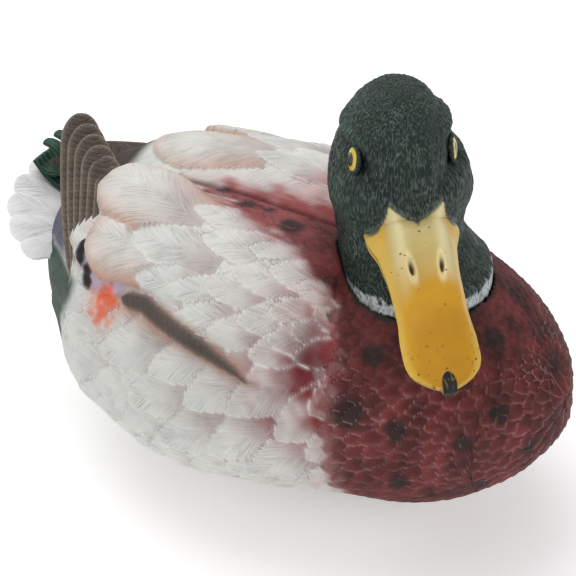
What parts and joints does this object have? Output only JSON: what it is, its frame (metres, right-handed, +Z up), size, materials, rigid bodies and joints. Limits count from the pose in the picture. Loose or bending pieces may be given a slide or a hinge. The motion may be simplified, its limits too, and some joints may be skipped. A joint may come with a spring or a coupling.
{
  "type": "floating duck decoy",
  "caption": "Floating drake duck decoy: hollow painted body on a weighted keel, with a hollow head that turns on a neck swivel.",
  "frame": {"origin": "centre of the keel's flat underside", "axes": "+Z up, -Y towards the duck's breast, +X towards the duck's left wing"},
  "size_m": [0.1858, 0.288, 0.2166],
  "materials": {
    "body_paint": "satin painted feathers",
    "hull": "moulded, painted",
    "rubber": "matte",
    "steel": "stainless",
    "board": "moulded",
    "foam": "closed-cell foam",
    "tail_white": "satin painted feathers",
    "flight_brown": "satin painted feathers",
    "curl_green": "satin painted feathers",
    "bearing": "smooth nylon",
    "keel_olive": "moulded",
    "ballast": "cast",
    "head_green": "satin painted feathers",
    "bill_yellow": "glossy paint",
    "eye_glass": "polished"
  },
  "bodies": {
    "hull": {"body_shell": "body_paint", "base_pan": "hull", "hull_seal": "rubber", "hull_screws": "steel", "deck_board": "board", "foam_core": "foam", "tail_fan": "tail_white", "right_wing_primaries": "flight_brown", "left_wing_primaries": "flight_brown", "tail_curls": "curl_green", "neck_socket": "board", "neck_bush": "bearing", "keel": "keel_olive", "keel_ballast": "ballast", "keel_screws": "steel", "plug_bush": "board"},
    "head": {"head_shell": "head_green", "bill": "bill_yellow", "right_eye": "eye_glass", "left_eye": "eye_glass", "neck_spigot": "bearing", "thrust_washer": "bearing", "neck_bolt": "steel", "spring_washers": "steel", "friction_spring": "steel", "neck_nut": "steel"},
    "plug": {"drain_plug": "rubber", "plug_seal": "rubber"}
  },
  "joints": [
    {"name": "head_swivel", "type": "hinge", "parent": "hull", "child": "head", "pos_m": [0, -0.069, 0.115], "axis": [0, 0, 1], "range_deg": [-13, 107]},
    {"name": "drain_plug_pull", "type": "slide", "parent": "hull", "child": "plug", "axis": [0, 0, -1], "range_m": [0, 0.014]}
  ]
}
